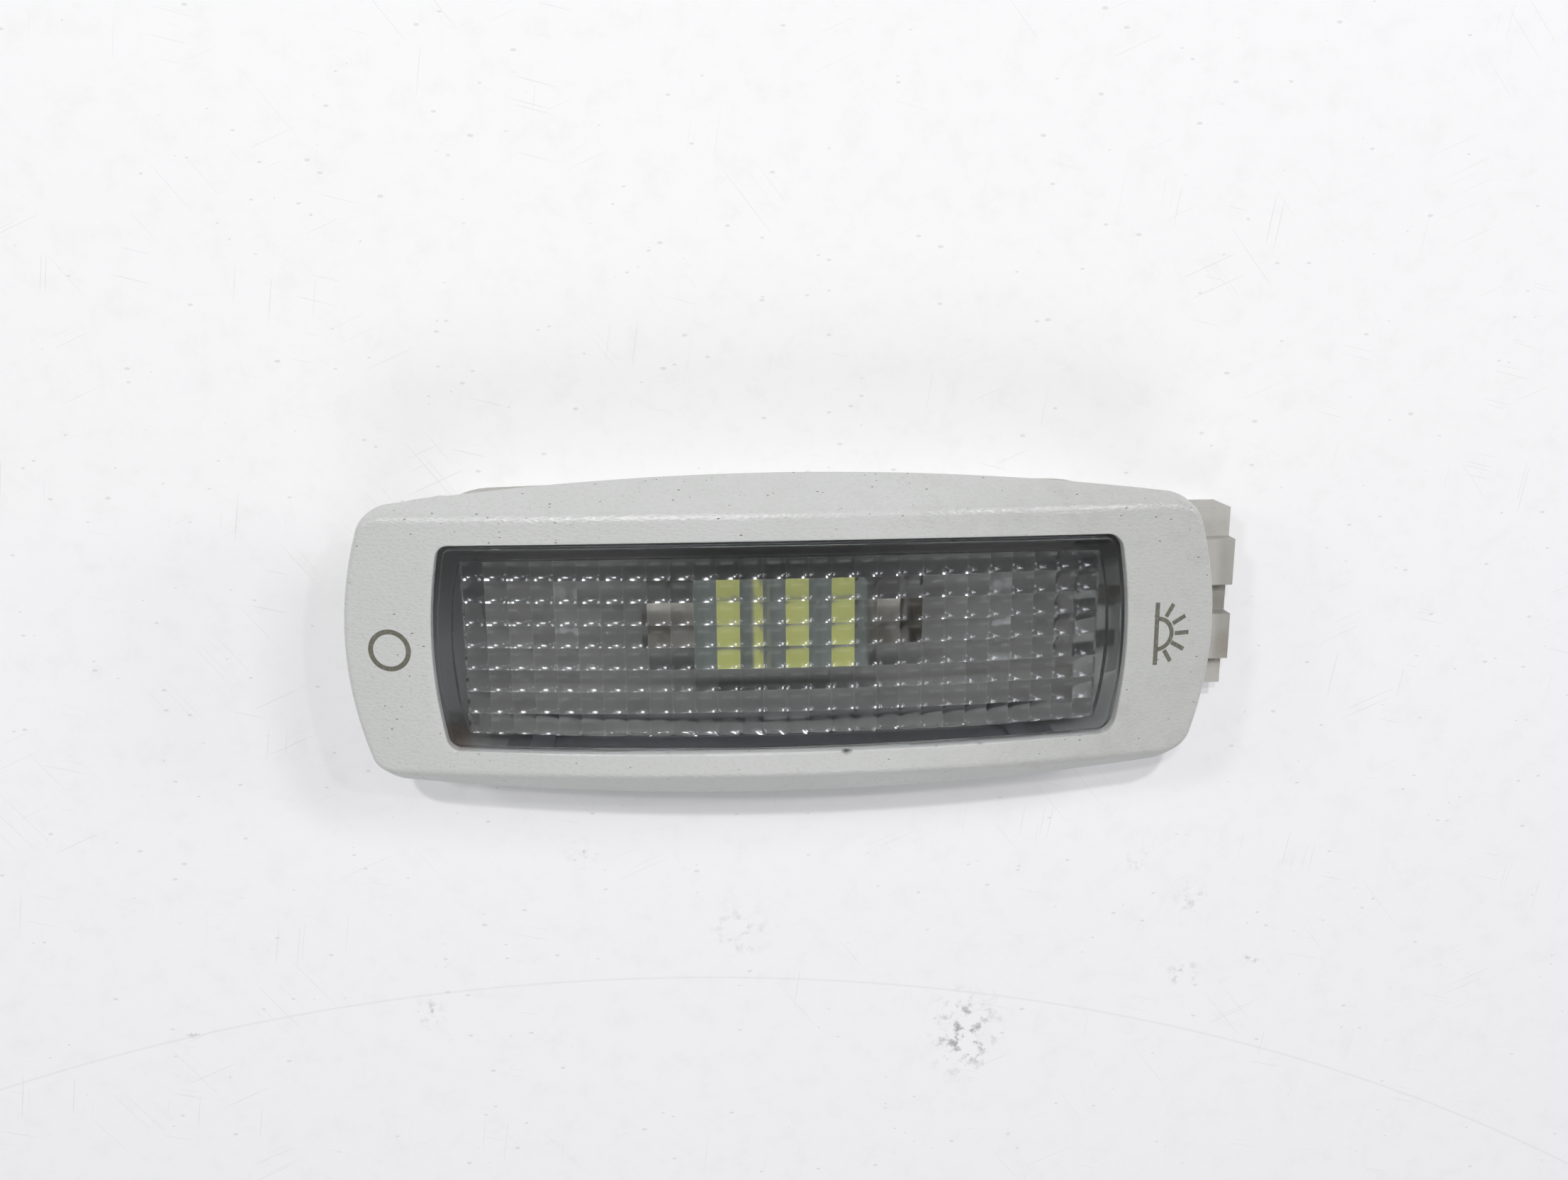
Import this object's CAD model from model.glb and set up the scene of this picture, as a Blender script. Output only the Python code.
import math

import bmesh
import bpy
from mathutils import Matrix, Vector
from mathutils.geometry import delaunay_2d_cdt


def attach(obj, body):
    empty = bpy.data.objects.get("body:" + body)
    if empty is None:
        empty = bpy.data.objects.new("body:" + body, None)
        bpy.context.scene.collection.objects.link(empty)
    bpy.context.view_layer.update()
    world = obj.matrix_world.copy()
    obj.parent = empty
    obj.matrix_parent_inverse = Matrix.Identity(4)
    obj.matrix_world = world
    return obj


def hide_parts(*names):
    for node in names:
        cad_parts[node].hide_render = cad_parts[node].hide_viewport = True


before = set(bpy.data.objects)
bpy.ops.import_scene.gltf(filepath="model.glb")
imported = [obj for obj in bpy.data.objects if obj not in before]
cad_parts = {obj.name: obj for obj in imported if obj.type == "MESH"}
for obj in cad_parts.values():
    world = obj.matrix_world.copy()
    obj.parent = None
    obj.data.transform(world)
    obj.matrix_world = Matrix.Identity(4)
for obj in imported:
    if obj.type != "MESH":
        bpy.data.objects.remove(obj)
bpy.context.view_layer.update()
MM = 0.001

# Rear housing. The real piece is one injection moulding in a warm grey polypropylene: a tray with
# posts and ribs for the metal strips, and the connector shroud with its two coding ribs. The
# moulding is matt, slightly yellowed, and the lower coding rib carries a rusty brown stain.


def shader_group(name, takes, gives):
    """A new shader group: its tree, its input node and its output node."""
    tree = bpy.data.node_groups.new(name, "ShaderNodeTree")
    for label, kind, value in takes:
        socket = tree.interface.new_socket(label, in_out="INPUT", socket_type=kind)
        socket.default_value = value
    for label, kind in gives:
        tree.interface.new_socket(label, in_out="OUTPUT", socket_type=kind)
    return tree, tree.nodes.new("NodeGroupInput"), tree.nodes.new("NodeGroupOutput")


def add(tree, kind, **settings):
    """A node with its properties and its unlinked inputs set; keys with _ name inputs."""
    node = tree.nodes.new("ShaderNode" + kind)
    for key, value in settings.items():
        if key.startswith("in_"):
            label = key[3:].replace("_", " ")
            socket = node.inputs[int(label)] if label.isdigit() else node.inputs[label]
            if isinstance(value, bpy.types.NodeSocket):
                tree.links.new(value, socket)
            else:
                socket.default_value = value
        else:
            setattr(node, key, value)
    return node


def math_node(tree, operation, a, b=0.0, clamp=False):
    """The result of one sum on two values or sockets."""
    node = add(tree, "Math", operation=operation, use_clamp=clamp, in_0=a, in_1=b)
    return node.outputs[0]


def ramp(tree, value, low, high, to_low=0.0, to_high=1.0):
    """A value mapped smoothly from one range to another."""
    node = add(tree, "MapRange", interpolation_type="SMOOTHSTEP", in_Value=value)
    for label, number in zip(("From Min", "From Max", "To Min", "To Max"),
                             (low, high, to_low, to_high)):
        node.inputs[label].default_value = number
    return node.outputs[0]


def blend_colour(tree, factor, a, b):
    """Two colours mixed by a factor."""
    node = tree.nodes.new("ShaderNodeMix")
    node.data_type = "RGBA"
    for index, value in ((0, factor), (6, a), (7, b)):
        if isinstance(value, bpy.types.NodeSocket):
            tree.links.new(value, node.inputs[index])
        else:
            node.inputs[index].default_value = value
    return node.outputs[2]


def srgb(r, g, b):
    """A colour as a screen shows it, from 0 to 255, turned to the linear colour Blender takes."""
    def linear(c):
        c /= 255
        return c / 12.92 if c <= 0.04045 else ((c + 0.055) / 1.055) ** 2.4
    return (linear(r), linear(g), linear(b), 1.0)


# Grain of a moulded or coated surface: even fine pits, and a slow change of tone.
grain, grain_in, grain_out = shader_group(
    "moulded_grain",
    [("Scale", "NodeSocketFloat", 1800.0), ("Stretch", "NodeSocketFloat", 1.0)],
    [("Height", "NodeSocketFloat"), ("Tone", "NodeSocketFloat")])
grain_place = add(grain, "TexCoord").outputs["Object"]
grain_axes = add(grain, "CombineXYZ", in_Y=1.0, in_Z=1.0)
grain.links.new(grain_in.outputs["Stretch"], grain_axes.inputs["X"])
grain_stretched = add(grain, "VectorMath", operation="MULTIPLY", in_0=grain_place,
                      in_1=grain_axes.outputs[0]).outputs[0]
grain_warp = add(grain, "TexNoise", in_Vector=grain_stretched, in_Scale=900.0, in_Detail=1.0)
grain_shift = add(grain, "VectorMath", operation="MULTIPLY_ADD", in_0=grain_warp.outputs["Color"],
                  in_1=(0.0004, 0.0004, 0.0004), in_2=grain_stretched).outputs[0]
grain_cells = add(grain, "TexVoronoi", feature="SMOOTH_F1", in_Vector=grain_shift,
                  in_Scale=grain_in.outputs["Scale"], in_Smoothness=0.6)
grain_fine = add(grain, "TexNoise", in_Vector=grain_stretched, in_Detail=3.0, in_Roughness=0.6,
                 in_Scale=math_node(grain, "MULTIPLY", grain_in.outputs["Scale"], 2.3))
grain_sum = math_node(grain, "ADD", grain_cells.outputs["Distance"],
                      math_node(grain, "MULTIPLY", grain_fine.outputs["Fac"], 0.5))
grain_slow = add(grain, "TexNoise", in_Vector=grain_place, in_Scale=60.0, in_Detail=3.0)
grain.links.new(grain_sum, grain_out.inputs["Height"])
grain.links.new(grain_slow.outputs["Fac"], grain_out.inputs["Tone"])

# Dirt: sparse dark specks of two sizes, and thin film that lies in patches.
dirt, dirt_in, dirt_out = shader_group(
    "handled_dirt",
    [("Amount", "NodeSocketFloat", 0.5), ("Speck Scale", "NodeSocketFloat", 900.0)],
    [("Specks", "NodeSocketFloat"), ("Film", "NodeSocketFloat")])
dirt_place = add(dirt, "TexCoord").outputs["Object"]
dirt_squash = add(dirt, "VectorMath", operation="MULTIPLY", in_0=dirt_place,
                  in_1=(0.5, 1.0, 1.0)).outputs[0]
dirt_points = add(dirt, "TexVoronoi", in_Vector=dirt_squash, in_Randomness=1.0,
                  in_Scale=dirt_in.outputs["Speck Scale"])
dirt_pick = add(dirt, "SeparateColor", in_Color=dirt_points.outputs["Color"])
dirt_patch = add(dirt, "TexNoise", in_Vector=dirt_place, in_Scale=45.0, in_Detail=2.0)
dirt_chance = math_node(dirt, "MULTIPLY", dirt_in.outputs["Amount"],
                        ramp(dirt, dirt_patch.outputs["Fac"], 0.35, 0.7, 0.25, 1.0))
dirt_kept = math_node(dirt, "LESS_THAN", dirt_pick.outputs["Red"], dirt_chance)
dirt_size = math_node(dirt, "MULTIPLY_ADD", dirt_pick.outputs["Green"], 0.22)
dirt_size.node.inputs[2].default_value = 0.06
dirt_dot = math_node(dirt, "LESS_THAN", dirt_points.outputs["Distance"], dirt_size)
dirt_film = add(dirt, "TexNoise", in_Vector=dirt_place, in_Scale=180.0, in_Detail=5.0,
                in_Roughness=0.7)
dirt.links.new(math_node(dirt, "MULTIPLY", dirt_kept, dirt_dot), dirt_out.inputs["Specks"])
dirt.links.new(ramp(dirt, dirt_film.outputs["Fac"], 0.45, 0.75), dirt_out.inputs["Film"])


def place(tree, group, **values):
    """One use of a group in a material, with its own values; the key's _ stands for a space."""
    node = tree.nodes.new("ShaderNodeGroup")
    node.node_tree = group
    for key, value in values.items():
        node.inputs[key.replace("_", " ")].default_value = value
    return node.outputs


def material(name, **constants):
    """A new material with its Principled shader and the values that are the same all over."""
    made = bpy.data.materials.new(name)
    made.use_nodes = True
    shader = made.node_tree.nodes["Principled BSDF"]
    for key, value in constants.items():
        shader.inputs[key.replace("_", " ")].default_value = value
    return made, made.node_tree, shader


def spot(tree, centre, radius, soft):
    """A round patch about a place on the piece, 1 inside and 0 outside; its edge is uneven."""
    coords = add(tree, "TexCoord").outputs["Object"]
    ragged = add(tree, "TexNoise", in_Vector=coords, in_Scale=1400.0, in_Detail=3.0)
    shaken = add(tree, "VectorMath", operation="MULTIPLY_ADD", in_0=ragged.outputs["Color"],
                 in_1=(soft, soft, soft), in_2=coords).outputs[0]
    middle = tuple(c + soft / 2 for c in centre)
    far = add(tree, "VectorMath", operation="DISTANCE", in_0=shaken, in_1=middle)
    return ramp(tree, far.outputs["Value"], radius - soft, radius + soft, 1.0, 0.0)


def bump(tree, height, depth):
    """A Bump node's normal for a height of 0 to 1 that stands for a depth in metres."""
    node = add(tree, "Bump", in_Strength=1.0, in_Distance=depth, in_Height=height)
    return node.outputs["Normal"]


def dress(piece, made):
    """Gives a piece or a CAD node one material."""
    piece.data.materials.clear()
    piece.data.materials.append(made)


# Stains on the shroud's end: place, radius, softness, strength and colour.
SHROUD_STAINS = (((0.0792, -0.0064, 0.0085), 0.0034, 0.0016, 0.6, srgb(142, 124, 102)),
                 ((0.0786, -0.0089, 0.0060), 0.0030, 0.0018, 0.45, srgb(128, 104, 86)),
                 ((0.0795, 0.0048, 0.0085), 0.0013, 0.0010, 0.5, srgb(120, 96, 70)))
# Bands across the shroud's end that hold grime: from Y, to Y and strength.
SHROUD_GRIME = ((-0.0090, -0.0009, 0.35), (-0.0009, 0.0043, 0.6), (0.0043, 0.0124, 0.3))
housing_mat, tree, shader = material("housing_warm_grey", Roughness=0.62)
g = place(tree, grain, Scale=2600.0)
d = place(tree, dirt, Amount=0.05, Speck_Scale=2200.0)
tone = blend_colour(tree, g["Tone"], srgb(180, 179, 173), srgb(191, 190, 184))
for at, radius, soft, strength, stain_colour in SHROUD_STAINS:
    stained = math_node(tree, "MULTIPLY", spot(tree, at, radius, soft), strength)
    tone = blend_colour(tree, stained, tone, stain_colour)
tone = blend_colour(tree, math_node(tree, "MULTIPLY", d["Film"], 0.12), tone, srgb(128, 124, 112))
axes = add(tree, "SeparateXYZ", in_Vector=add(tree, "TexCoord").outputs["Object"])
soiled_end = ramp(tree, axes.outputs["X"], 0.0755, 0.0775)
BAND_EDGE = 0.3 * MM
for low, high, share in SHROUD_GRIME:
    band = math_node(tree, "MULTIPLY",
                     ramp(tree, axes.outputs["Y"], low - BAND_EDGE, low + BAND_EDGE),
                     ramp(tree, axes.outputs["Y"], high - BAND_EDGE, high + BAND_EDGE, share, 0.0))
    tone = blend_colour(tree, math_node(tree, "MULTIPLY", band, soiled_end), tone,
                        srgb(118, 115, 106))
tone = blend_colour(tree, math_node(tree, "MULTIPLY", d["Specks"], 0.4), tone, srgb(104, 100, 90))
tree.links.new(tone, shader.inputs["Base Color"])
tree.links.new(bump(tree, g["Height"], 0.000012), shader.inputs["Normal"])
dress(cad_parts["rear_housing"], housing_mat)

# Metal strips, springs and contacts. The real ones are stamped from tinned or bare brass sheet of
# 0.5 and 0.8 mm and from spring steel, and lie in the housing on ribs, held by rivets. They are
# rolled metal: fine lines along the sheet, dulled by a thin grey film and by fingers.


def rolled_metal(name, colour, tarnish, rough, lines):
    """Sheet metal with rolling lines, and a tarnish that gathers in patches."""
    made, tree, shader = material(name, Metallic=1.0)
    coords = add(tree, "TexCoord").outputs["Object"]
    along = add(tree, "VectorMath", operation="MULTIPLY", in_0=coords, in_1=lines).outputs[0]
    scored = add(tree, "TexNoise", in_Vector=along, in_Scale=1.0, in_Detail=4.0, in_Roughness=0.7)
    worn = add(tree, "TexNoise", in_Vector=coords, in_Scale=320.0, in_Detail=4.0)
    patch = ramp(tree, worn.outputs["Fac"], 0.42, 0.68)
    tone = blend_colour(tree, patch, colour, tarnish)
    tree.links.new(tone, shader.inputs["Base Color"])
    gloss = math_node(tree, "MULTIPLY_ADD", patch, 0.18)
    gloss.node.inputs[2].default_value = rough
    tree.links.new(gloss, shader.inputs["Roughness"])
    tree.links.new(bump(tree, scored.outputs["Fac"], 0.000006), shader.inputs["Normal"])
    return made


tinned_mat = rolled_metal("tinned_strip", srgb(196, 194, 188), srgb(150, 147, 139), 0.34,
                          (300.0, 9000.0, 9000.0))
brass_mat = rolled_metal("bare_brass", srgb(134, 127, 112), srgb(96, 90, 78), 0.4,
                         (400.0, 8000.0, 8000.0))
steel_mat = rolled_metal("spring_steel", srgb(168, 170, 173), srgb(118, 118, 120), 0.3,
                         (500.0, 9000.0, 9000.0))
for name in ("terminal_supply", "terminal_ground", "terminal_door", "contact_rivet_left",
             "contact_rivet_right", "leaf_rivet", "detent_rivet"):
    dress(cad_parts[name], tinned_mat)
for name in ("switch_common", "bulb_contact_left", "bulb_contact_right"):
    dress(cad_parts[name], brass_mat)
for name in ("switch_leaf", "detent_spring", "mounting_clip"):
    dress(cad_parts[name], steel_mat)

# Reflector. The real one is folded from dull grey aluminium sheet, staked on the housing's posts
# behind the lamp. It has darkened with heat and dust, and shows only as the lens's dark ground.
reflector_mat, tree, shader = material("dulled_aluminium", Metallic=0.35, Roughness=0.5)
g = place(tree, grain, Scale=900.0, Stretch=0.25)
d = place(tree, dirt, Amount=0.15, Speck_Scale=700.0)
tone = blend_colour(tree, g["Tone"], srgb(124, 124, 120), srgb(158, 155, 146))
tone = blend_colour(tree, math_node(tree, "MULTIPLY", d["Film"], 0.5), tone, srgb(92, 90, 84))
tree.links.new(tone, shader.inputs["Base Color"])
tree.links.new(bump(tree, g["Height"], 0.00003), shader.inputs["Normal"])
dress(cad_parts["reflector"], reflector_mat)

# LED festoon lamp. The real one is a thin circuit board between two turned, nickel plated
# caps, with sixteen light emitting chips in four rows of four soldered to its face. Its rectifier
# and its two resistors sit on the back.
BOARD_TOP = 14.7
CHIP_PITCH = (6.5, 3.7)
CHIP_SIZE = (3.5, 2.8, 0.8)


def piece_from(name, verts, faces, made, body, smooth=None):
    """A mesh piece in millimetres, turned to metres, dressed, shaded and set to ride."""
    mesh = bpy.data.meshes.new(name)
    mesh.from_pydata([Vector(v) * MM for v in verts], [], faces)
    mesh.update()
    work = bmesh.new()
    work.from_mesh(mesh)
    bmesh.ops.recalc_face_normals(work, faces=work.faces)
    work.to_mesh(mesh)
    work.free()
    if smooth is not None:
        mesh.shade_smooth()
        mesh.set_sharp_from_angle(angle=math.radians(smooth))
    piece = bpy.data.objects.new(name, mesh)
    bpy.context.scene.collection.objects.link(piece)
    dress(piece, made)
    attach(piece, body)
    return piece


def loops(rings, closed_ends=True):
    """Vertices and faces that join rings of equally many points into a tube."""
    count = len(rings[0])
    verts = [v for ring in rings for v in ring]
    faces = []
    for r in range(len(rings) - 1):
        for i in range(count):
            j = (i + 1) % count
            a, b = r * count, (r + 1) * count
            faces.append((a + i, a + j, b + j, b + i))
    if closed_ends:
        faces.append(tuple(reversed(range(count))))
        faces.append(tuple(range(len(verts) - count, len(verts))))
    return verts, faces


def rounded_loop(x, y, hx, hy, r, z, steps=5):
    """A closed loop of points round a rectangle with rounded corners, at one height."""
    points = []
    for k, (sx, sy) in enumerate(((1, 1), (-1, 1), (-1, -1), (1, -1))):
        for i in range(steps + 1):
            a = math.radians(90 * (k + i / steps))
            points.append((x + sx * (hx - r) + r * math.cos(a),
                           y + sy * (hy - r) + r * math.sin(a), z))
    return points


board_mat, tree, shader = material("solder_mask", Roughness=0.34)
g = place(tree, grain, Scale=1500.0)
d = place(tree, dirt, Amount=0.1, Speck_Scale=900.0)
coords = add(tree, "TexCoord").outputs["Object"]
tracks = add(tree, "TexBrick", in_Vector=coords, in_Scale=1.0, in_Mortar_Size=0.00022,
             in_Brick_Width=0.0065, in_Row_Height=0.0037, offset=0.0)
tone = blend_colour(tree, g["Tone"], srgb(118, 123, 115), srgb(128, 133, 125))
tone = blend_colour(tree, math_node(tree, "MULTIPLY", tracks.outputs["Fac"], 0.35), tone,
                    srgb(98, 106, 94))
tone = blend_colour(tree, math_node(tree, "MULTIPLY", d["Film"], 0.25), tone, srgb(96, 96, 86))
tree.links.new(tone, shader.inputs["Base Color"])
tree.links.new(bump(tree, math_node(tree, "SUBTRACT", 1.0, tracks.outputs["Fac"]), 0.00003),
               shader.inputs["Normal"])
dress(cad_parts["led_board"], board_mat)

cap_mat = rolled_metal("nickel_cap", srgb(150, 145, 134), srgb(118, 112, 100), 0.5,
                       (9000.0, 500.0, 500.0))
cap_mat.node_tree.nodes["Principled BSDF"].inputs["Metallic"].default_value = 0.55
for name in ("led_cap_left", "led_cap_right"):
    dress(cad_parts[name], cap_mat)

package_mat, tree, shader = material("chip_package", Roughness=0.5)
g = place(tree, grain, Scale=5000.0)
tree.links.new(blend_colour(tree, g["Tone"], srgb(140, 141, 126), srgb(152, 152, 136)),
               shader.inputs["Base Color"])
tree.links.new(bump(tree, g["Height"], 0.000008), shader.inputs["Normal"])
gel_mat, tree, shader = material("phosphor_gel", Roughness=0.3)
g = place(tree, grain, Scale=4200.0)
tree.links.new(blend_colour(tree, g["Tone"], srgb(190, 191, 106), srgb(200, 200, 122)),
               shader.inputs["Base Color"])
tree.links.new(bump(tree, g["Height"], 0.000010), shader.inputs["Normal"])
for i in range(16):
    x = (i // 4 - 1.5) * CHIP_PITCH[0]
    y = (i % 4 - 1.5) * CHIP_PITCH[1]
    hx, hy, high = CHIP_SIZE[0] / 2, CHIP_SIZE[1] / 2, BOARD_TOP + CHIP_SIZE[2]
    rings = [rounded_loop(x, y, hx, hy, 0.12, BOARD_TOP + 0.01),
             rounded_loop(x, y, hx, hy, 0.12, high - 0.1),
             rounded_loop(x, y, hx - 0.06, hy - 0.06, 0.12, high),
             rounded_loop(x, y, hx - 0.16, hy - 0.34, 0.35, high),
             rounded_loop(x, y, hx - 0.24, hy - 0.42, 0.35, high - 0.1),
             rounded_loop(x, y, hx - 0.8, hy - 0.8, 0.35, high - 0.04),
             rounded_loop(x, y, 0.3, 0.2, 0.15, high - 0.02)]
    verts, faces = loops(rings)
    chip = piece_from("chip_%02d" % (i + 1), verts, faces, package_mat, "housing", smooth=35)
    chip.data.materials.append(gel_mat)
    per_ring = len(rings[0])
    for face in chip.data.polygons:
        if min(face.vertices) >= 4 * per_ring:
            face.material_index = 1
    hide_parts("led_chip_%02d" % (i + 1))

epoxy_mat, tree, shader = material("black_epoxy", Roughness=0.5)
g = place(tree, grain, Scale=4000.0)
tree.links.new(blend_colour(tree, g["Tone"], srgb(34, 34, 36), srgb(48, 48, 50)),
               shader.inputs["Base Color"])
tree.links.new(bump(tree, g["Height"], 0.000012), shader.inputs["Normal"])
for name in ("lamp_rectifier", "lamp_resistor_1", "lamp_resistor_2"):
    dress(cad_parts[name], epoxy_mat)

# Bezel frame. The real one is a single light grey moulding, arched from end to end, with a fine
# leather-like grain etched in its mould. Its skirt, pivot ears, switch pushers and lens hooks are
# hidden inside. The grain has gone shiny along the upper shoulder, and dark specks lie in it.
TOTAL_H, RISE, END_RISE = 30.0, 7.4, 1.1
HALF_L, HALF_W = 70.0, 26.75
RIM_Z = TOTAL_H - RISE
ARCH_R = (HALF_L ** 2 + (RISE - END_RISE) ** 2) / (2 * (RISE - END_RISE))
ARCH_Z = TOTAL_H - ARCH_R
BEZEL_T = 2.0
OPENING = (56.1, 17.3)
OPENING_BOW = (1.85, 0.5)
OPENING_R = (1.7, 2.4)
OPENING_Y = -0.2
QUADRANT = (46, 26, 22)
SIDE_SLOPE, END_SLOPE = 54, 76
SIDE_FILLET, END_FILLET = 2.2, 1.05
SHOULDER_STEPS, PLATE_STEPS = 9, 11
LIP_R = 0.35


def arch(x, depth=0.0):
    """Height of the crown's arch at x, or of a surface a depth below it."""
    return ARCH_Z + math.sqrt((ARCH_R - depth) ** 2 - x * x)


def quarter_outline(hl, hw, r, counts=QUADRANT):
    """Points of a quarter of a rounded rectangle, from the middle of its side to its end."""
    side, corner, end = counts
    found = [((hl - r) * i / side, hw) for i in range(side)]
    found += [(hl - r + r * math.sin(a), hw - r + r * math.cos(a))
              for a in (math.pi / 2 * i / corner for i in range(corner))]
    return found + [(hl, (hw - r) * (1 - i / end)) for i in range(end)]


def bowed_outline(hl, hw, r_left, r_right, bow):
    """Points round a rounded rectangle whose ends and sides bow outwards."""
    right, left = quarter_outline(hl, hw, r_right), quarter_outline(hl, hw, r_left)
    whole = list(right)
    whole += [(x, -y) for x, y in [(hl, 0.0)] + right[:0:-1]]
    whole += [(-x, -y) for x, y in left]
    whole += [(-x, y) for x, y in [(hl, 0.0)] + left[:0:-1]]
    return [(x * (1 - bow[0] / hl * (y / hw) ** 2), y * (1 - bow[1] / hw * (x / hl) ** 2))
            for x, y in whole]


def opening_outline(inset, radii):
    """Outline of the lens opening, drawn in by an inset along X and along Y; it lies off centre."""
    plan = bowed_outline(OPENING[0] - inset[0], OPENING[1] - inset[1], *radii, OPENING_BOW)
    return [(x, y + OPENING_Y) for x, y in plan]


def inward(points):
    """Unit vectors that point inwards from each point of a closed clockwise outline."""
    found = []
    for i in range(len(points)):
        (x0, y0), (x1, y1) = points[i - 1], points[(i + 1) % len(points)]
        dx, dy = x1 - x0, y1 - y0
        size = math.hypot(dx, dy)
        found.append((dy / size, -dx / size))
    return found


def step(value, low, high):
    """A smooth step from 0 to 1."""
    t = min(max((value - low) / (high - low), 0.0), 1.0)
    return t * t * (3 - 2 * t)


def nick(x, y):
    """How far the rim stands proud where it is nicked, at the upper left."""
    if y < 0:
        return 0.0
    return 0.22 * math.exp(-((x + 57.4) / 0.9) ** 2) + 0.3 * math.exp(-((x + 54.4) / 1.0) ** 2)


def bezel_profile(px, py, nx, ny, qx, qy):
    """One closed section of the bezel, from its rim over the plate to the opening and back."""
    end = step(abs(nx), 0.25, 0.9)
    slope = math.radians(SIDE_SLOPE + (END_SLOPE - SIDE_SLOPE) * end)
    fillet = SIDE_FILLET + (END_FILLET - SIDE_FILLET) * end
    high = arch(px) - RIM_Z
    rise = -px / (arch(px) - ARCH_Z) * nx
    meet = high / (math.tan(slope) - rise)
    flat = math.atan(rise)
    reach = fillet * math.tan((slope - flat) / 2)
    foot = (meet - reach * math.cos(slope), (meet * math.tan(slope)) - reach * math.sin(slope))
    centre = (foot[0] + fillet * math.sin(slope), foot[1] - fillet * math.cos(slope))
    lean = 1 / math.tan(slope)
    section = [(0.14, 0.0), (0.05, 0.02), (0.05 + 0.07 * lean, 0.09)]
    low = 0.24
    section += [(lean * z, z) for z in (low, low * 0.6 + foot[1] * 0.4, low * 0.3 + foot[1] * 0.7)]
    for k in range(SHOULDER_STEPS + 1):
        a = slope + (flat - slope) * k / SHOULDER_STEPS
        section.append((centre[0] - fillet * math.sin(a), centre[1] + fillet * math.cos(a)))
    proud = nick(px, py)
    ring = []
    for t, z in section:
        out = proud * max(0.0, 1 - z / 1.2)
        ring.append((px + nx * (t - out), py + ny * (t - out), RIM_Z + z))
    sx, sy = ring[-1][0], ring[-1][1]
    across, lip = PLATE_STEPS, LIP_R
    span = math.hypot(qx - sx, qy - sy)
    ux, uy = (qx - sx) / span, (qy - sy) / span
    for k in range(1, across + 1):
        run = (span - lip) * k / across
        x, y = sx + ux * run, sy + uy * run
        ring.append((x, y, arch(x)))
    for a in (30, 60, 90):
        back = lip * (1 - math.sin(math.radians(a)))
        x, y = qx - ux * back, qy - uy * back
        ring.append((x, y, arch(x) - lip * (1 - math.cos(math.radians(a)))))
    ring.append((qx, qy, arch(qx, BEZEL_T) + 0.1))
    ring.append((qx - ux * 0.1, qy - uy * 0.1, max(arch(qx, BEZEL_T), RIM_Z)))
    wall = BEZEL_T / math.sin(slope)
    inner_meet = wall + max(high - BEZEL_T / math.cos(flat), 0.02) / (math.tan(slope) - rise)
    tx, ty = px + nx * inner_meet, py + ny * inner_meet
    for k in range(1, across):
        f = k / (across - 1)
        x, y = qx - ux * 0.1 + (tx - qx) * f, qy - uy * 0.1 + (ty - qy) * f
        ring.append((x, y, max(arch(x, BEZEL_T), RIM_Z + 0.02 * (1 - f))))
    ring.append((px + nx * wall, py + ny * wall, RIM_Z))
    return ring


RIM_GROWTH, RIM_SHIFT = (0.9, 0.2), 0.5
RIM_CORNERS, RIM_BOW = (4.2, 5.0), (4.25, 4.59)
outer = [(x + RIM_SHIFT, y) for x, y in bowed_outline(
    HALF_L + RIM_GROWTH[0], HALF_W + RIM_GROWTH[1], *RIM_CORNERS, RIM_BOW)]
normals = inward(outer)
opening = opening_outline((0.0, 0.0), OPENING_R)
sections = [bezel_profile(*p, *n, *q) for p, n, q in zip(outer, normals, opening)]
bezel_verts, bezel_faces = loops(sections + [sections[0]], closed_ends=False)
size = len(sections[0])
bezel_verts = bezel_verts[:-size]
bezel_faces = [tuple(i % len(bezel_verts) for i in face) for face in bezel_faces]


def add_part(verts, faces):
    """Adds a closed shape to the bezel's moulding."""
    start = len(bezel_verts)
    bezel_verts.extend(verts)
    bezel_faces.extend(tuple(i + start for i in face) for face in faces)


def column(x0, x1, y0, y1, low, top, r=0.2):
    """A block with rounded upright edges, from low up to top."""
    x, y, hx, hy = (x0 + x1) / 2, (y0 + y1) / 2, abs(x1 - x0) / 2, abs(y1 - y0) / 2
    return loops([rounded_loop(x, y, hx - 0.15, hy - 0.15, r, low, 3),
                  rounded_loop(x, y, hx, hy, r, low + 0.15, 3),
                  rounded_loop(x, y, hx, hy, r, top, 3)])


# The skirt: half length, half width and wall, the bow of its sides, its lower edge, and the half
# lengths of its side and end walls, which leave the corners open.
SKIRT = (59.3, 20.3, 1.0)
SKIRT_BOW = 1.2
SKIRT_LOW = 15.2
SKIRT_SIDE, SKIRT_END = 46.0, 13.5


def wall_section(x, y, ux, uy):
    """One section of a skirt wall: its outside at a plan point, and the way to its inside."""
    t = SKIRT[2]
    top = arch(x, BEZEL_T * 0.75)
    return [(x + ux * d, y + uy * d, z) for d, z in (
        (0, top), (0, SKIRT_LOW + 0.15), (0.15, SKIRT_LOW), (t - 0.15, SKIRT_LOW),
        (t, SKIRT_LOW + 0.15), (t, top))]


for side in (1, -1):
    steps = [SKIRT_SIDE * k / 20 for k in range(-20, 21)]
    add_part(*loops([wall_section(
        x, side * SKIRT[1] * (1 - SKIRT_BOW / SKIRT[1] * (x / SKIRT[0]) ** 2), 0, -side)
        for x in steps]))
    steps = [SKIRT_END * k / 6 for k in range(-6, 7)]
    add_part(*loops([wall_section(side * SKIRT[0], y, -side, 0) for y in steps]))

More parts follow.
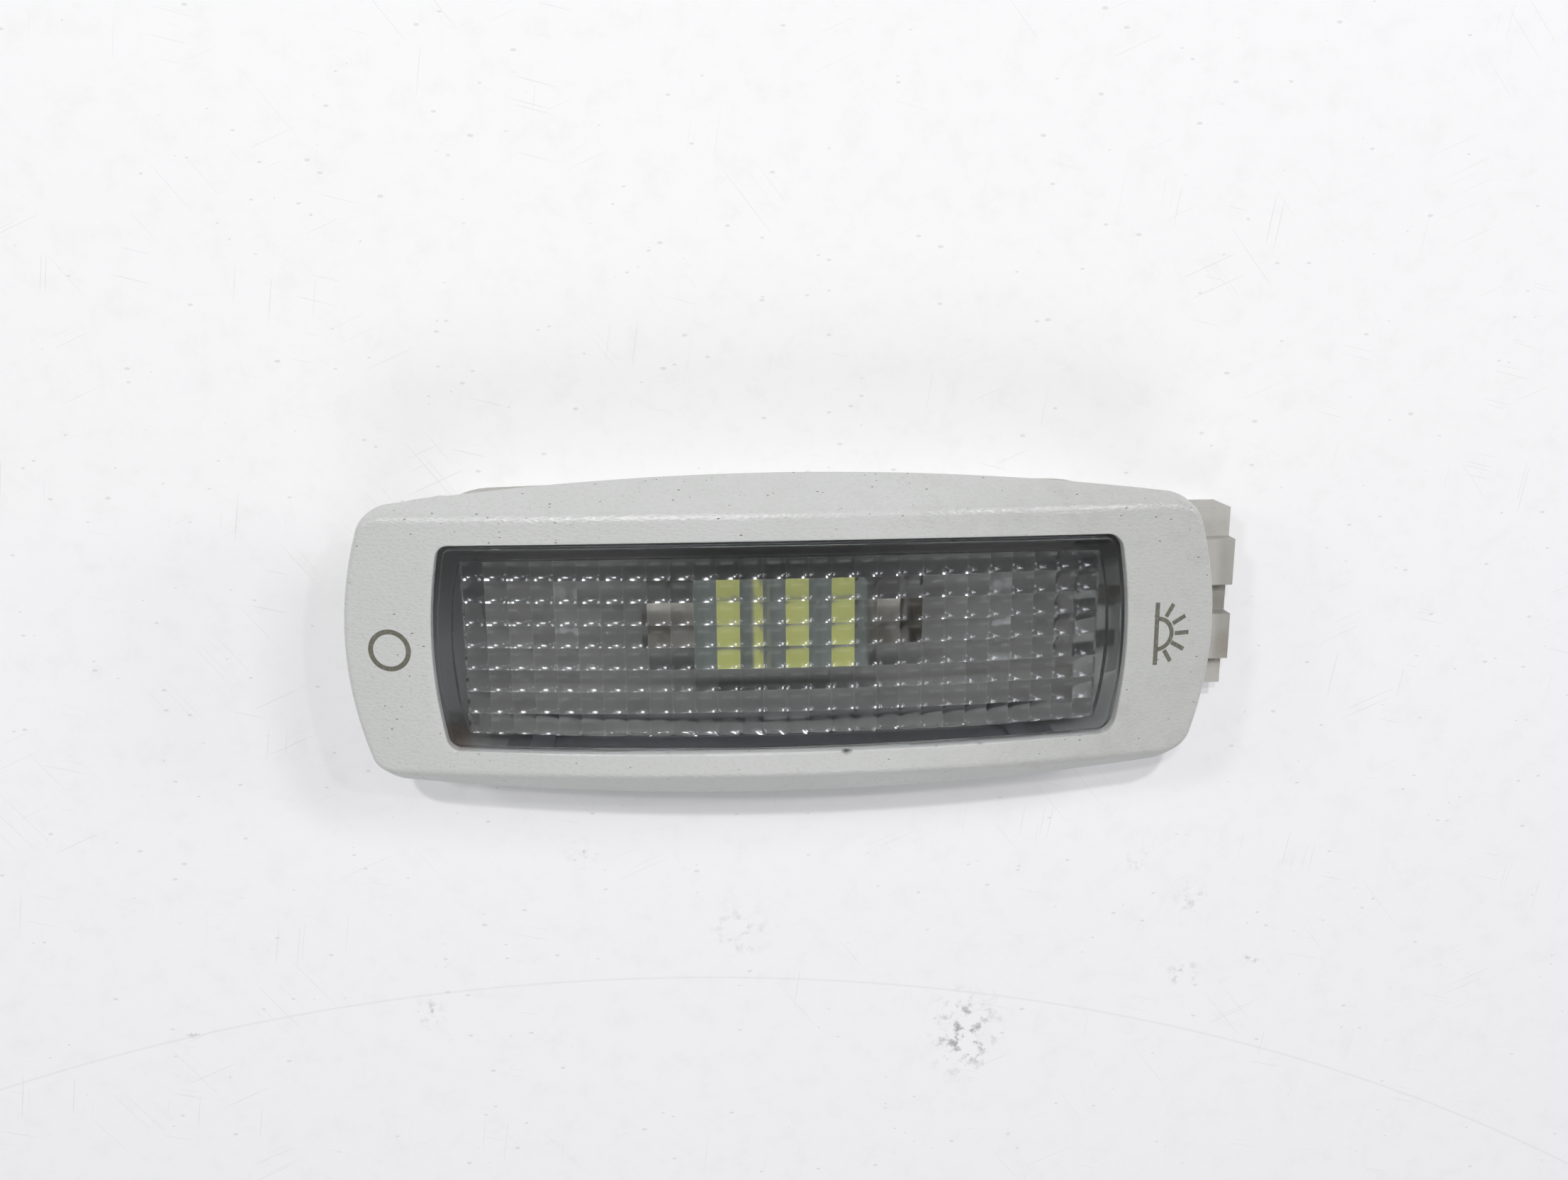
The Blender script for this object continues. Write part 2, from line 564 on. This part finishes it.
PIVOT_Z, PIN_R, EAR_HALF = 18.0, 1.7, 4.0
EAR_Y = (22.8, 24.2)
for side in (1, -1):
    ear = [(EAR_HALF * math.cos(a), PIVOT_Z + EAR_HALF * math.sin(a))
           for a in (math.radians(180 + 180 * k / 24) for k in range(25))]
    ear += [(EAR_HALF, 25.0), (-EAR_HALF, 25.0)]
    verts, faces = loops([[(x, side * EAR_Y[0], z) for x, z in ear],
                          [(x, side * EAR_Y[1], z) for x, z in ear]])
    add_part(verts, faces)
    rings = []
    for y, r in ((20.5, PIN_R - 0.2), (20.7, PIN_R), (23.3, PIN_R)):
        rings.append([(r * math.cos(a), side * y, PIVOT_Z + r * math.sin(a))
                      for a in (2 * math.pi * k / 40 for k in range(40))])
    add_part(*loops(rings))
HOOK_FLANGE_Y = OPENING[1] + 1.3
HOOK_HALF = 2.5
for x in (-50, -20, 20, 50):
    left, right = x - HOOK_HALF, x + HOOK_HALF
    for side in (1, -1):
        root = arch(abs(x) + HOOK_HALF, BEZEL_T)
        low = root - 2.5
        add_part(*column(left, right, side * (HOOK_FLANGE_Y + 0.1), side * (HOOK_FLANGE_Y + 1.2),
                         low, root + 0.3))
        add_part(*column(left, right, side * (HOOK_FLANGE_Y - 0.7), side * (HOOK_FLANGE_Y + 0.2),
                         low, low + 1.0))
PUSH_Y = (-19.4, -18.1)
PUSH_LOW, PUSH_TOP = 10.15, 22.0
for x in (-40, 40):
    add_part(*column(x - 2, x + 2, *PUSH_Y, PUSH_LOW, PUSH_TOP))
DETENT_X, DETENT_Z, DETENT_Y, GROOVE = 33.0, 12.0, (18.7, 20.0), 0.5
groove_pitch = DETENT_X * math.sin(math.radians(3))
tab = [(DETENT_Y[1], DETENT_Z - groove_pitch - 1.8), (DETENT_Y[0], DETENT_Z - groove_pitch - 1.8)]
for k in (-1, 0, 1):
    z = DETENT_Z + k * groove_pitch
    tab += [(DETENT_Y[0], z - GROOVE), (DETENT_Y[0] + GROOVE, z), (DETENT_Y[0], z + GROOVE)]
tab += [(DETENT_Y[0], arch(DETENT_X, BEZEL_T) + 0.3), (DETENT_Y[1], arch(DETENT_X, BEZEL_T) + 0.3)]
add_part(*loops([[(x, y, z) for y, z in tab] for x in (DETENT_X - 3.5, DETENT_X + 3.5)]))

# Two black marks at the opening's lower edge: place and radius.
BLACK_MARKS = (((0.0097, -0.0171, 0.0298), 0.0008), ((0.0317, -0.0167, 0.0286), 0.0006))
bezel_mat, tree, shader = material("bezel_light_grey")
g = place(tree, grain, Scale=2500.0, Stretch=0.5)
d = place(tree, dirt, Amount=0.10, Speck_Scale=2300.0)
fine = place(tree, dirt, Amount=0.35, Speck_Scale=3600.0)
coords = add(tree, "TexCoord").outputs["Object"]
axes = add(tree, "SeparateXYZ", in_Vector=coords)
tone = blend_colour(tree, g["Tone"], srgb(202, 204, 201), srgb(208, 209, 207))
greyed = ramp(tree, axes.outputs["X"], 0.01, 0.066, 0.0, 0.30)
tone = blend_colour(tree, greyed, tone, srgb(164, 165, 160))
pits = ramp(tree, g["Height"], 0.35, 0.75, 1.0, 0.0)
tone = blend_colour(tree, math_node(tree, "MULTIPLY", pits, 0.1), tone, srgb(150, 148, 142))
handled = ramp(tree, axes.outputs["X"], -0.02, 0.055, 0.03, 0.16)
for mask, strength, soil in ((d["Film"], handled, srgb(146, 142, 134)),
                             (fine["Specks"], 0.3, srgb(120, 118, 112)),
                             (d["Specks"], 0.8, srgb(92, 88, 80))):
    tone = blend_colour(tree, math_node(tree, "MULTIPLY", mask, strength), tone, soil)
inner_z = ramp(tree, axes.outputs["Z"], 0.0243, 0.0239)
inner_x = ramp(tree, math_node(tree, "ABSOLUTE", axes.outputs["X"]), 0.0600, 0.0598)
inner_y = ramp(tree, math_node(tree, "ABSOLUTE", axes.outputs["Y"]), 0.0206, 0.0204)
inner = math_node(tree, "MULTIPLY", inner_z, math_node(tree, "MULTIPLY", inner_x, inner_y))
tone = blend_colour(tree, math_node(tree, "MULTIPLY", inner, 0.85), tone, srgb(66, 66, 66))
for at, radius in BLACK_MARKS:
    tone = blend_colour(tree, spot(tree, at, radius, 0.0005), tone, srgb(62, 58, 56))
tree.links.new(tone, shader.inputs["Base Color"])
rubbed = math_node(tree, "MULTIPLY", ramp(tree, axes.outputs["Y"], 0.0185, 0.0200),
                   ramp(tree, axes.outputs["Y"], 0.0232, 0.0222))
ends = math_node(tree, "ADD", ramp(tree, axes.outputs["X"], 0.0, 0.035),
                 ramp(tree, axes.outputs["X"], -0.032, -0.050, 0.0, 0.7))
rubbed = math_node(tree, "MULTIPLY", rubbed, ends)
gloss = ramp(tree, g["Tone"], 0.3, 0.7, 0.27, 0.33)
gloss = math_node(tree, "SUBTRACT", gloss, math_node(tree, "MULTIPLY", rubbed, 0.16))
tree.links.new(gloss, shader.inputs["Roughness"])
coarse = math_node(tree, "MULTIPLY_ADD", rubbed, 0.3)
coarse.node.inputs[2].default_value = 1.0
coarse = math_node(tree, "MULTIPLY", coarse, g["Height"])
tree.links.new(bump(tree, coarse, 0.000055), shader.inputs["Normal"])
bezel = piece_from("bezel_moulding", bezel_verts, bezel_faces, bezel_mat, "rocker", smooth=32)
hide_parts("bezel_frame")

# Printed signs. On the real light they are pad printed on the grain in one dark olive grey ink:
# a ring for off at the left end, a lamp with rays for on at the right end, and a car with its
# door open on both long slopes. The ink film is a few hundredths of a millimetre thick.
INK = 0.02
SLOPE = math.radians(SIDE_SLOPE)
SHOULDER = HALF_W - RISE / math.tan(SLOPE)
ink_mat, tree, shader = material("sign_ink", Roughness=0.5)
g = place(tree, grain, Scale=1900.0, Stretch=1.25)
tone = blend_colour(tree, ramp(tree, g["Height"], 0.3, 0.9), srgb(122, 121, 110),
                    srgb(104, 103, 92))
tree.links.new(tone, shader.inputs["Base Color"])
tree.links.new(bump(tree, g["Height"], 0.00003), shader.inputs["Normal"])


def on_plate(x, y, lift):
    """A point of the plate, lifted off it."""
    return (x, y, arch(x) + lift)


def on_slope(x, down, side, lift):
    """A point off the CAD bezel's long slope, a distance down from its shoulder line.

    The wider bezel made above stands about 0.16 mm proud of that slope, so print laid here is
    hidden under it.
    """
    y = SHOULDER + down * math.cos(SLOPE)
    radius = ARCH_R - down * math.sin(SLOPE) + lift * math.cos(SLOPE)
    return (x, side * (y + lift * math.sin(SLOPE)), ARCH_Z + math.sqrt(radius ** 2 - x * x))


def stroke(points, width, closed=False):
    """A line of even width along points, as a grid of three points across it."""
    rows = []
    count = len(points)
    for i, (x, y) in enumerate(points):
        a = points[i - 1] if closed or i > 0 else points[i]
        b = points[(i + 1) % count] if closed or i < count - 1 else points[i]
        before, after = Vector((x - a[0], y - a[1])), Vector((b[0] - x, b[1] - y))
        if before.length < 1e-9:
            before = after
        if after.length < 1e-9:
            after = before
        across = (before.normalized() + after.normalized()).normalized()
        mitre = 1 / max(across.dot(after.normalized()), 0.5)
        nx, ny = -across.y * mitre * width / 2, across.x * mitre * width / 2
        rows.append([(x + nx * k, y + ny * k) for k in (-1, 0, 1)])
    return rows + [rows[0]] if closed else rows


def patch(a, b, c, d, n=6):
    """A filled four-sided shape, as a grid."""
    rows = []
    for i in range(n + 1):
        f = i / n
        p = [a[k] + (d[k] - a[k]) * f for k in (0, 1)]
        q = [b[k] + (c[k] - b[k]) * f for k in (0, 1)]
        rows.append([(p[0] + (q[0] - p[0]) * m / n, p[1] + (q[1] - p[1]) * m / n)
                     for m in range(n + 1)])
    return rows


def subdivided(points, longest=0.4, closed=False):
    """The same line with points added where they stand far apart."""
    out = []
    pairs = list(zip(points, points[1:] + points[:1])) if closed else list(zip(points, points[1:]))
    for (x0, y0), (x1, y1) in pairs:
        n = max(1, math.ceil(math.hypot(x1 - x0, y1 - y0) / longest))
        out += [(x0 + (x1 - x0) * k / n, y0 + (y1 - y0) * k / n) for k in range(n)]
    return out if closed else out + [points[-1]]


def print_sign(name, grids, lay):
    """Thin solid print from grids of flat points, laid on the bezel by a function."""
    verts, faces = [], []
    for rows in grids:
        start, wide, tall = len(verts), len(rows[0]), len(rows)
        for lift in (INK, -0.05):
            verts += [lay(x, y, lift) for row in rows for x, y in row]
        layer = wide * tall
        for i in range(tall - 1):
            for j in range(wide - 1):
                a = start + i * wide + j
                faces.append((a, a + 1, a + wide + 1, a + wide))
                faces.append((a + layer + wide, a + layer + wide + 1, a + layer + 1, a + layer))
        edge = [j for j in range(wide)]
        edge += [i * wide + wide - 1 for i in range(1, tall)]
        edge += [(tall - 1) * wide + j for j in range(wide - 2, -1, -1)]
        edge += [i * wide for i in range(tall - 2, 0, -1)]
        for k, a in enumerate(edge):
            b = edge[(k + 1) % len(edge)]
            faces.append((start + a, start + b, start + b + layer, start + a + layer))
    sign = piece_from(name, verts, faces, ink_mat, "rocker")
    return sign


def arc_points(x, y, r, start, stop, n):
    """Points of an arc, by its angles in degrees."""
    return [(x + r * math.cos(a), y + r * math.sin(a))
            for a in (math.radians(start + (stop - start) * k / n) for k in range(n + 1))]


ring = stroke(arc_points(-62.95, -0.35, 3.06, 0, 360, 72)[:-1], 0.8, closed=True)
print_sign("sign_off", [ring], on_plate)

lamp_sign = [stroke(subdivided([(61.2, 4.85), (61.25, -5.75)]), 0.76),
             stroke(arc_points(61.3, -0.5, 2.62, 88, -88, 30), 0.72)]
for (x0, y0), (x1, y1) in (((62.8, 2.35), (64.0, 4.45)), ((64.05, 1.15), (66.2, 2.35)),
                           ((64.5, -0.54), (66.95, -0.5)), ((63.95, -2.05), (66.2, -3.35)),
                           ((62.75, -3.35), (63.95, -5.3))):
    lamp_sign.append(stroke(subdivided([(x0, y0), (x1, y1)]), 0.72))
print_sign("sign_on", lamp_sign, on_plate)

CAR_LINE = 0.68
car_outline = (arc_points(-4.75, 5.2, 0.75, 180, 90, 6)
               + [(-2.1, 6.0), (-0.75, 5.2), (1.3, 5.15), (2.35, 6.05)]
               + arc_points(3.75, 5.3, 0.75, 90, 0, 6) + arc_points(3.75, 2.25, 0.75, 0, -90, 6)
               + arc_points(-4.75, 2.25, 0.75, 270, 180, 6))
car_sign = [stroke(subdivided(car_outline, closed=True), CAR_LINE, closed=True),
            patch((-2.35, 5.35), (-1.2, 4.85), (-1.15, 3.2), (-2.3, 2.35)),
            patch((1.95, 5.05), (2.8, 5.4), (2.85, 2.5), (2.0, 2.95)),
            patch((-0.65, 2.85), (1.3, 2.85), (1.95, 2.35), (-1.3, 2.35)),
            stroke(subdivided([(-1.55, 6.5), (1.2, 8.0)]), CAR_LINE)]
for name, side in (("sign_door_upper", 1), ("sign_door_lower", -1)):
    print_sign(name, car_sign, lambda x, down, lift, s=side: on_slope(x, down, s, lift))

# Lens. The real one is moulded in clear acrylic: a plate with a smooth border that fits the
# opening, a flange that the bezel's hooks hold, and 28 by 8 square pillows on its inner face,
# which spread the light. It is finely scratched, with a brown stain at its lower left corner.
LENS_DROP, LENS_T = 0.1, 1.5
LENS_GAP = (1.0, 0.6)
BORDER = 2.1
FLANGE_OUT, FLANGE_T = 1.2, 1.2
FLANGE_TOP = BEZEL_T + 0.05
PILLOW, PILLOW_SAG, PILLOW_EDGE = 3.64, (0.09, 0.36), 0.09
PILLOW_COLUMNS, PILLOW_ROWS = 28, 8
PER_PILLOW = 10


def lens_outline(inset):
    """Outline of the lens, drawn in from the opening by an inset along X and along Y."""
    return opening_outline(inset, [max(r - (inset[0] + inset[1]) / 2, 0.5) for r in OPENING_R])


def at_depth(x, y, depth):
    """A point straight below or above a plan point, at a depth under the crown's arch."""
    return (x, y, arch(x, depth))


def grown(by):
    """The lens's own outline, drawn in by an amount."""
    return lens_outline((LENS_GAP[0] + by, LENS_GAP[1] + by))


def pillow_depth(s, y):
    """How far the pillows stand below the plate, at an arc length along the arch and a Y."""
    u = s / PILLOW % 1.0 - 0.5
    v = y / PILLOW % 1.0 - 0.5
    inside = abs(s) < PILLOW_COLUMNS / 2 * PILLOW and abs(y) < PILLOW_ROWS / 2 * PILLOW
    if not inside:
        return 0.0
    dome = PILLOW_SAG[0] * (1 - 4 * u * u) + PILLOW_SAG[1] * (1 - 4 * v * v)
    return dome + PILLOW_EDGE * (1 - 16 * u ** 4)


def filled(outline, spacing):
    """Even triangles inside an outline, over a square grid of points: points and triangles."""
    points = [Vector(p) for p in outline]
    hx, hy = max(p.x for p in points), max(p.y for p in points)
    nx, ny = int(hx / spacing), int(hy / spacing)
    near = spacing * 0.4
    cells = {}
    for p in points:
        cells.setdefault((round(p.x / spacing), round(p.y / spacing)), []).append(p)
    rim = len(points)
    for i in range(-nx, nx + 1):
        for j in range(-ny, ny + 1):
            p = Vector((i * spacing, j * spacing))
            close = [q for di in (-1, 0, 1) for dj in (-1, 0, 1)
                     for q in cells.get((i + di, j + dj), [])]
            if all((p - q).length > near for q in close):
                points.append(p)
    found = delaunay_2d_cdt(points, [], [list(range(rim))], 1, 1e-7)
    return found[0], found[2]


lens_rings = [[at_depth(x, y, LENS_DROP) for x, y in grown(0.35)],
              [at_depth(x, y, LENS_DROP + 0.05) for x, y in grown(0.16)],
              [at_depth(x, y, LENS_DROP + 0.16) for x, y in grown(0.05)],
              [at_depth(x, y, LENS_DROP + 0.35) for x, y in grown(0.0)],
              [at_depth(x, y, FLANGE_TOP) for x, y in grown(0.0)],
              [at_depth(x, y, FLANGE_TOP) for x, y in lens_outline((-FLANGE_OUT, -FLANGE_OUT))],
              [at_depth(x, y, FLANGE_TOP + FLANGE_T)
               for x, y in lens_outline((-FLANGE_OUT, -FLANGE_OUT))],
              [at_depth(x, y, FLANGE_TOP + FLANGE_T) for x, y in grown(BORDER)]]
lens_verts, lens_faces = loops(lens_rings, closed_ends=False)
count = len(lens_rings[0])


def cap_with(points, triangles, depth_at, ring_start):
    """Adds a filled face to the lens, sharing the rim's vertices where they are the same."""
    start = len(lens_verts)
    lens_verts.extend(at_depth(p.x, p.y, depth_at(p.x, p.y)) for p in points)
    lens_faces.extend(tuple(start + i for i in face) for face in triangles)
    if ring_start is not None:
        for i in range(count):
            j = (i + 1) % count
            lens_faces.append((ring_start + i, ring_start + j, start + j, start + i))


top_points, top_faces = filled([(x, y) for x, y, _ in lens_rings[0]], PILLOW)
cap_with(top_points, top_faces, lambda x, y: LENS_DROP, None)
low_points, low_faces = filled([(x, y) for x, y, _ in lens_rings[-1]], PILLOW / PER_PILLOW)
cap_with(low_points, low_faces,
         lambda x, y: LENS_DROP + LENS_T + pillow_depth(ARCH_R * math.asin(x / ARCH_R), y),
         (len(lens_rings) - 1) * count)
lens_mat, tree, shader = material("clear_acrylic", IOR=1.49, Transmission_Weight=1.0)
coords = add(tree, "TexCoord").outputs["Object"]
stain = spot(tree, (-0.0528, -0.0150, 0.0240), 0.0024, 0.0022)
tone = blend_colour(tree, math_node(tree, "MULTIPLY", stain, 0.8), (0.575, 0.59, 0.62, 1.0),
                    srgb(120, 80, 40))
axes = add(tree, "SeparateXYZ", in_Vector=coords)
from_centre = add(tree, "CombineXYZ", in_X=axes.outputs["X"],
                  in_Z=math_node(tree, "SUBTRACT", axes.outputs["Z"], ARCH_Z * MM))
radius = add(tree, "VectorMath", operation="LENGTH", in_0=from_centre.outputs[0]).outputs["Value"]
underside = ramp(tree, radius, (ARCH_R - 1.4) * MM, (ARCH_R - 1.2) * MM, 1.0, 0.0)
along = math_node(tree, "MULTIPLY", ARCH_R * MM, math_node(
    tree, "ARCSINE", math_node(tree, "DIVIDE", axes.outputs["X"], ARCH_R * MM)))
crease = math_node(tree, "MINIMUM", math_node(tree, "PINGPONG", along, PILLOW / 2 * MM),
                   math_node(tree, "PINGPONG", axes.outputs["Y"], PILLOW / 2 * MM))
crease = math_node(tree, "MULTIPLY", ramp(tree, crease, 0.05 * MM, 0.20 * MM, 1.0, 0.0), underside)
for length, cells in ((along, PILLOW_COLUMNS), (axes.outputs["Y"], PILLOW_ROWS)):
    edge = (PILLOW * cells / 2 + 0.15) * MM
    within = math_node(tree, "LESS_THAN", math_node(tree, "ABSOLUTE", length), edge)
    crease = math_node(tree, "MULTIPLY", crease, within)
tone = blend_colour(tree, math_node(tree, "MULTIPLY", crease, 0.45), tone, (0.82, 0.84, 0.86, 1.0))
tree.links.new(tone, shader.inputs["Base Color"])
gloss = math_node(tree, "MULTIPLY_ADD", underside, 0.10)
gloss.node.inputs[2].default_value = 0.015
tree.links.new(gloss, shader.inputs["Roughness"])
fine_dust = add(tree, "TexNoise", in_Vector=coords, in_Scale=4200.0, in_Detail=4.0,
                in_Roughness=0.7)
tree.links.new(bump(tree, fine_dust.outputs["Fac"], 0.0000015), shader.inputs["Normal"])
see = add(tree, "BsdfTransparent", in_Color=(0.74, 0.75, 0.76, 1.0))
path = add(tree, "LightPath")
mix = add(tree, "MixShader", in_0=path.outputs["Is Shadow Ray"])
tree.links.new(shader.outputs[0], mix.inputs[1])
tree.links.new(see.outputs[0], mix.inputs[2])
tree.links.new(mix.outputs[0], tree.nodes["Material Output"].inputs["Surface"])
lens = piece_from("pillow_lens", lens_verts, lens_faces, lens_mat, "rocker")
work = bmesh.new()
work.from_mesh(lens.data)
bmesh.ops.remove_doubles(work, verts=work.verts, dist=1e-7)
bmesh.ops.recalc_face_normals(work, faces=work.faces)
work.to_mesh(lens.data)
work.free()
lens.data.shade_smooth()
lens.data.set_sharp_from_angle(angle=math.radians(14))
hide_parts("lens")

# Table, light and camera. The real light lies on its back on a white, scratched table by windows:
# small bright panes beyond its long edge, softer light from both sides and from the room behind,
# and a camera held above it.
SCREEN_WIDTH, FOCAL = 2212, 1912.2
SENSOR = 36.0
CAMERA_AT = Vector((-13.19, 57.82, 236.14)) * MM
CAMERA_TURN = [math.radians(a) for a in (-13.22, -3.47, -1.19)]


def turned(turn):
    """Rotation by three angles, about X, then Y, then Z of the turned frame."""
    return (Matrix.Rotation(turn[0], 4, "X") @ Matrix.Rotation(turn[1], 4, "Y")
            @ Matrix.Rotation(turn[2], 4, "Z"))


camera = bpy.data.objects.new("camera", bpy.data.cameras.new("camera"))
camera.matrix_world = Matrix.Translation(CAMERA_AT) @ turned(CAMERA_TURN)
camera.data.sensor_fit = "HORIZONTAL"
camera.data.sensor_width = SENSOR
camera.data.lens = FOCAL / SCREEN_WIDTH * SENSOR
camera.data.clip_start = 0.01
camera.data.clip_end = 20.0
bpy.context.scene.collection.objects.link(camera)
bpy.context.scene.camera = camera


def streaks(tree, coords, turn, along, across, share):
    """Short straight scratches that lie one way: their length and width are in cells per metre."""
    laid = add(tree, "Mapping", vector_type="TEXTURE", in_Vector=coords,
               in_Rotation=(0.0, 0.0, math.radians(turn)), in_Scale=(1 / along, 1 / across, 1.0))
    cells = add(tree, "TexVoronoi", voronoi_dimensions="2D", in_Vector=laid.outputs[0],
                in_Scale=1.0)
    pick = add(tree, "SeparateColor", in_Color=cells.outputs["Color"])
    kept = math_node(tree, "LESS_THAN", pick.outputs["Red"], share)
    size = math_node(tree, "MULTIPLY_ADD", pick.outputs["Green"], 0.1)
    size.node.inputs[2].default_value = 0.02
    line = math_node(tree, "LESS_THAN", cells.outputs["Distance"], size)
    return math_node(tree, "MULTIPLY", kept, line)


# Scratches: their turn in degrees, cells per metre along and across them, and the share kept.
SCRATCHES = ((24.0, 22.0, 1500.0, 0.10), (-52.0, 17.0, 1700.0, 0.10), (81.0, 26.0, 1300.0, 0.09),
             (-14.0, 34.0, 1400.0, 0.08))
# The long faint arc worn into the table: its centre and its radius.
WORN_ARC = ((-0.029, -0.468, 0.0), 0.3948)
# Dark smudges: place, radius and strength.
SMUDGES = (((0.037, -0.085), 0.0042, 0.75), ((0.036, -0.091), 0.0036, 0.7),
           ((-0.0365, -0.0472), 0.0016, 0.6), ((-0.0659, -0.0785), 0.0018, 0.5),
           ((-0.0075, -0.0643), 0.0034, 0.3), ((0.0798, -0.0600), 0.0020, 0.4),
           ((0.0689, -0.0524), 0.0016, 0.35), ((0.0794, -0.0766), 0.0019, 0.5),
           ((0.0927, -0.0738), 0.0010, 0.8), ((-0.1105, -0.0807), 0.0008, 0.9))
table_mat, tree, shader = material("white_table", Roughness=0.6)
coords = add(tree, "TexCoord").outputs["Object"]
axes = add(tree, "SeparateXYZ", in_Vector=coords)
clouds = add(tree, "TexNoise", in_Vector=coords, in_Scale=9.0, in_Detail=2.0)
near = ramp(tree, axes.outputs["Y"], -0.03, 0.03, 1.0, 0.0)
tone = blend_colour(tree, near, (0.945, 0.945, 0.945, 1.0), (0.945, 0.94, 0.965, 1.0))
tone = blend_colour(tree, math_node(tree, "MULTIPLY", clouds.outputs["Fac"], 0.5), tone,
                    (0.93, 0.93, 0.93, 1.0))
lines = streaks(tree, coords, *SCRATCHES[0])
for scratch in SCRATCHES[1:]:
    lines = math_node(tree, "MAXIMUM", lines, streaks(tree, coords, *scratch))
worn = add(tree, "TexNoise", in_Vector=coords, in_Scale=26.0, in_Detail=3.0)
lines = math_node(tree, "MULTIPLY", lines, ramp(tree, worn.outputs["Fac"], 0.36, 0.62, 0.0, 0.2))
arc = math_node(tree, "SUBTRACT", add(tree, "VectorMath", operation="DISTANCE", in_0=coords,
                                      in_1=WORN_ARC[0]).outputs["Value"], WORN_ARC[1])
arc = ramp(tree, math_node(tree, "ABSOLUTE", arc), 0.00012, 0.0003, 0.11, 0.0)
tone = blend_colour(tree, math_node(tree, "MAXIMUM", lines, arc), tone, srgb(150, 148, 146))
d = place(tree, dirt, Amount=0.10, Speck_Scale=1050.0)
tone = blend_colour(tree, math_node(tree, "MULTIPLY", d["Specks"], 0.22), tone,
                    srgb(120, 118, 116))
grime = place(tree, dirt, Amount=0.05, Speck_Scale=170.0)
tone = blend_colour(tree, math_node(tree, "MULTIPLY", grime["Film"], 0.06), tone,
                    srgb(140, 138, 132))
for at, radius, dark in SMUDGES:
    smudge = math_node(tree, "MULTIPLY", spot(tree, (*at, 0.0), radius, radius * 1.3), dark)
    mottle = add(tree, "TexNoise", in_Vector=coords, in_Scale=420.0, in_Detail=5.0,
                 in_Roughness=0.65)
    smudge = math_node(tree, "MULTIPLY", smudge, ramp(tree, mottle.outputs["Fac"], 0.5, 0.64))
    tone = blend_colour(tree, smudge, tone, srgb(96, 94, 92))
tree.links.new(tone, shader.inputs["Base Color"])
glow = add(tree, "Emission", in_Color=(0.97, 0.985, 0.99, 1.0), in_Strength=1.0)
path = add(tree, "LightPath")
seen = math_node(tree, "MAXIMUM", path.outputs["Is Camera Ray"],
                 math_node(tree, "MAXIMUM", path.outputs["Is Glossy Ray"],
                           path.outputs["Is Transmission Ray"]))
mix = add(tree, "MixShader", in_0=math_node(tree, "MULTIPLY", seen, 0.1))
tree.links.new(shader.outputs[0], mix.inputs[1])
tree.links.new(glow.outputs[0], mix.inputs[2])
tree.links.new(mix.outputs[0], tree.nodes["Material Output"].inputs["Surface"])
TABLE_HALF = 1.5
table_mesh = bpy.data.meshes.new("table")
table_mesh.from_pydata([(-TABLE_HALF, -TABLE_HALF, 0), (TABLE_HALF, -TABLE_HALF, 0),
                        (TABLE_HALF, TABLE_HALF, 0), (-TABLE_HALF, TABLE_HALF, 0)], [],
                       [(0, 1, 2, 3)])
table = bpy.data.objects.new("table", table_mesh)
bpy.context.scene.collection.objects.link(table)
dress(table, table_mat)


LIT_POINT = Vector((0, 0, 0.02))
# Lamps: name, place, width and height, power in watts and colour.
LAMPS = (("window_high", (-0.125, 0.645, 1.14), (0.035, 0.035), 4.2, (1.0, 0.99, 0.985)),
         ("window_low", (-0.307, 0.512, 1.18), (0.045, 0.045), 2.5, (1.0, 0.99, 0.985)),
         ("window_right", (0.66, 0.60, 0.87), (0.42, 0.09), 2.6, (0.96, 0.94, 1.0)),
         ("window_left", (-0.62, 0.54, 0.93), (0.12, 0.10), 1.7, (0.97, 0.985, 1.0)),
         ("pane_right", (0.52, 0.47, 1.02), (0.035, 0.035), 0.9, (0.97, 0.96, 1.0)),
         ("side_right", (1.25, 0.28, 0.66), (0.3, 0.3), 2.6, (1.0, 1.0, 1.0)),
         ("side_left", (-1.10, 0.42, 0.82), (0.24, 0.26), 1.4, (0.985, 0.99, 1.0)),
         ("room", (0.1, -1.5, 1.6), (1.2, 0.8), 7.2, (1.0, 1.0, 1.0)))
for name, at, size, power, colour in LAMPS:
    lamp = bpy.data.lights.new(name, "AREA")
    lamp.shape = "RECTANGLE"
    lamp.size, lamp.size_y = size
    lamp.energy, lamp.color = power, colour
    holder = bpy.data.objects.new(name, lamp)
    holder.location = at
    holder.rotation_euler = (LIT_POINT - Vector(at)).to_track_quat("-Z", "Y").to_euler()
    bpy.context.scene.collection.objects.link(holder)

world = bpy.data.worlds.new("room")
bpy.context.scene.world = world
world.use_nodes = True
tree = world.node_tree
back = tree.nodes["Background"]
back.inputs["Color"].default_value = (0.93, 0.95, 0.97, 1.0)
back.inputs["Strength"].default_value = 0.18

bpy.context.scene.view_settings.view_transform = "Standard"
